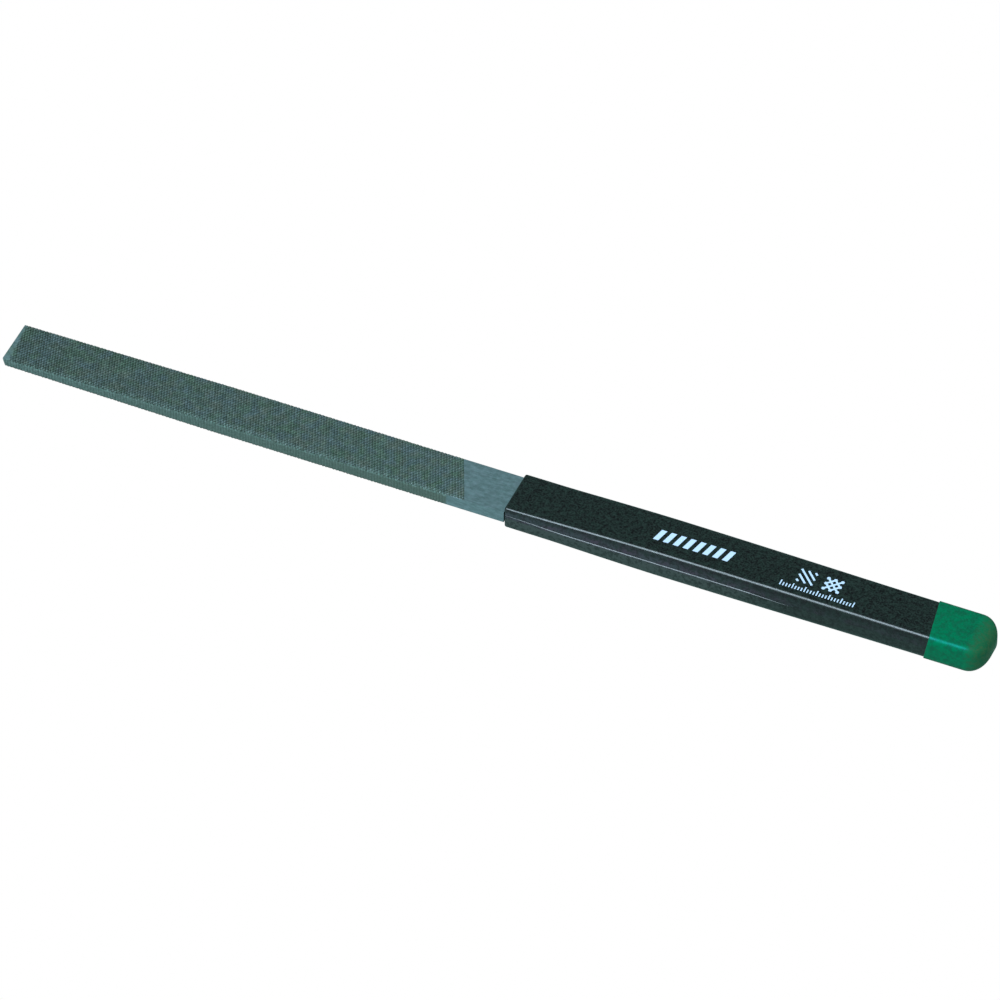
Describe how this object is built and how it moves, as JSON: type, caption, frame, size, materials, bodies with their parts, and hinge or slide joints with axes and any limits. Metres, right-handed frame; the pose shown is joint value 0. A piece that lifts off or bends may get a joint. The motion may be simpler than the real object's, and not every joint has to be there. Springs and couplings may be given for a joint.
{
  "type": "flat file",
  "caption": "Slim flat metalworking file: parallel double-cut steel blade with single-cut edges, black vinyl grip and green vinyl end cap.",
  "frame": {"origin": "centre of the bounding box, on the file's centre line, half way along its length", "axes": "+X along the file from the blade's tip to the end cap, +Y across the broad face, +Z out of the broad face that carries the print on the grip"},
  "size_m": [0.215, 0.0116, 0.0068],
  "materials": {
    "file_steel": "dull grey hardened steel, cut teeth, smooth shoulder",
    "black_vinyl": "semi-gloss soft vinyl, faint orange peel",
    "green_vinyl": "semi-gloss soft vinyl, dipped look",
    "white_print": "matt screen-printed ink"
  },
  "bodies": {
    "root": {"file_blank": "file_steel", "grip_sleeve": "black_vinyl", "end_cap": "green_vinyl"}
  },
  "joints": []
}
